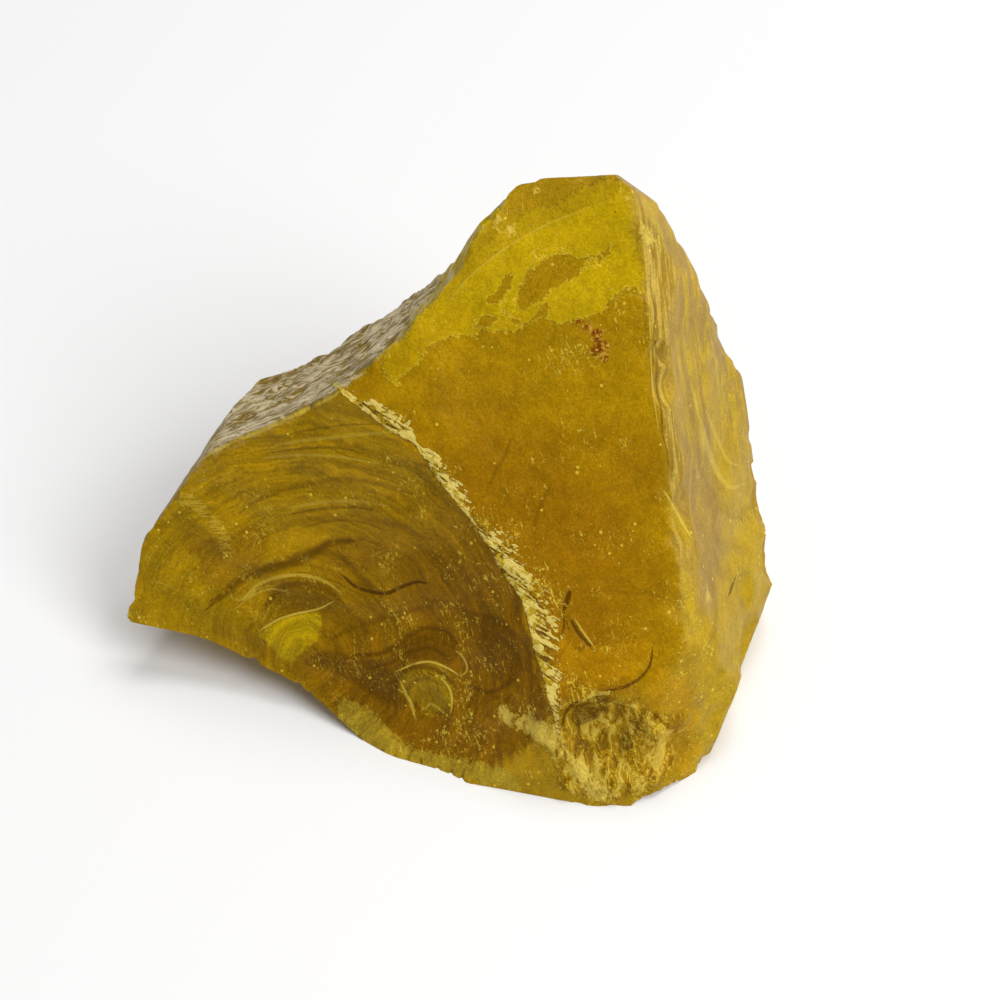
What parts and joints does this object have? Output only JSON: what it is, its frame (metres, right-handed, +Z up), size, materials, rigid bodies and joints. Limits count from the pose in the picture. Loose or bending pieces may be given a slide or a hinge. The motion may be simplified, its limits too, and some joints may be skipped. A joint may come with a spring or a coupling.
{
  "type": "rough mineral stone",
  "caption": "Rough opaque yellow stone, a broken lump with a pointed crown, a hollow left face and a flat break to rest on.",
  "frame": {"origin": "centre of the stone's bounding box, on the plane it rests on", "axes": "+Z up from the table, +X along the stone's length towards the end away from the overhanging tip, -Y out of the tall front face"},
  "size_m": [0.0512, 0.0346, 0.0401],
  "materials": {
    "yellow_stone": "waxy, broken, slightly translucent yellow stone"
  },
  "bodies": {
    "root": {"rough_topaz": "yellow_stone"}
  },
  "joints": []
}
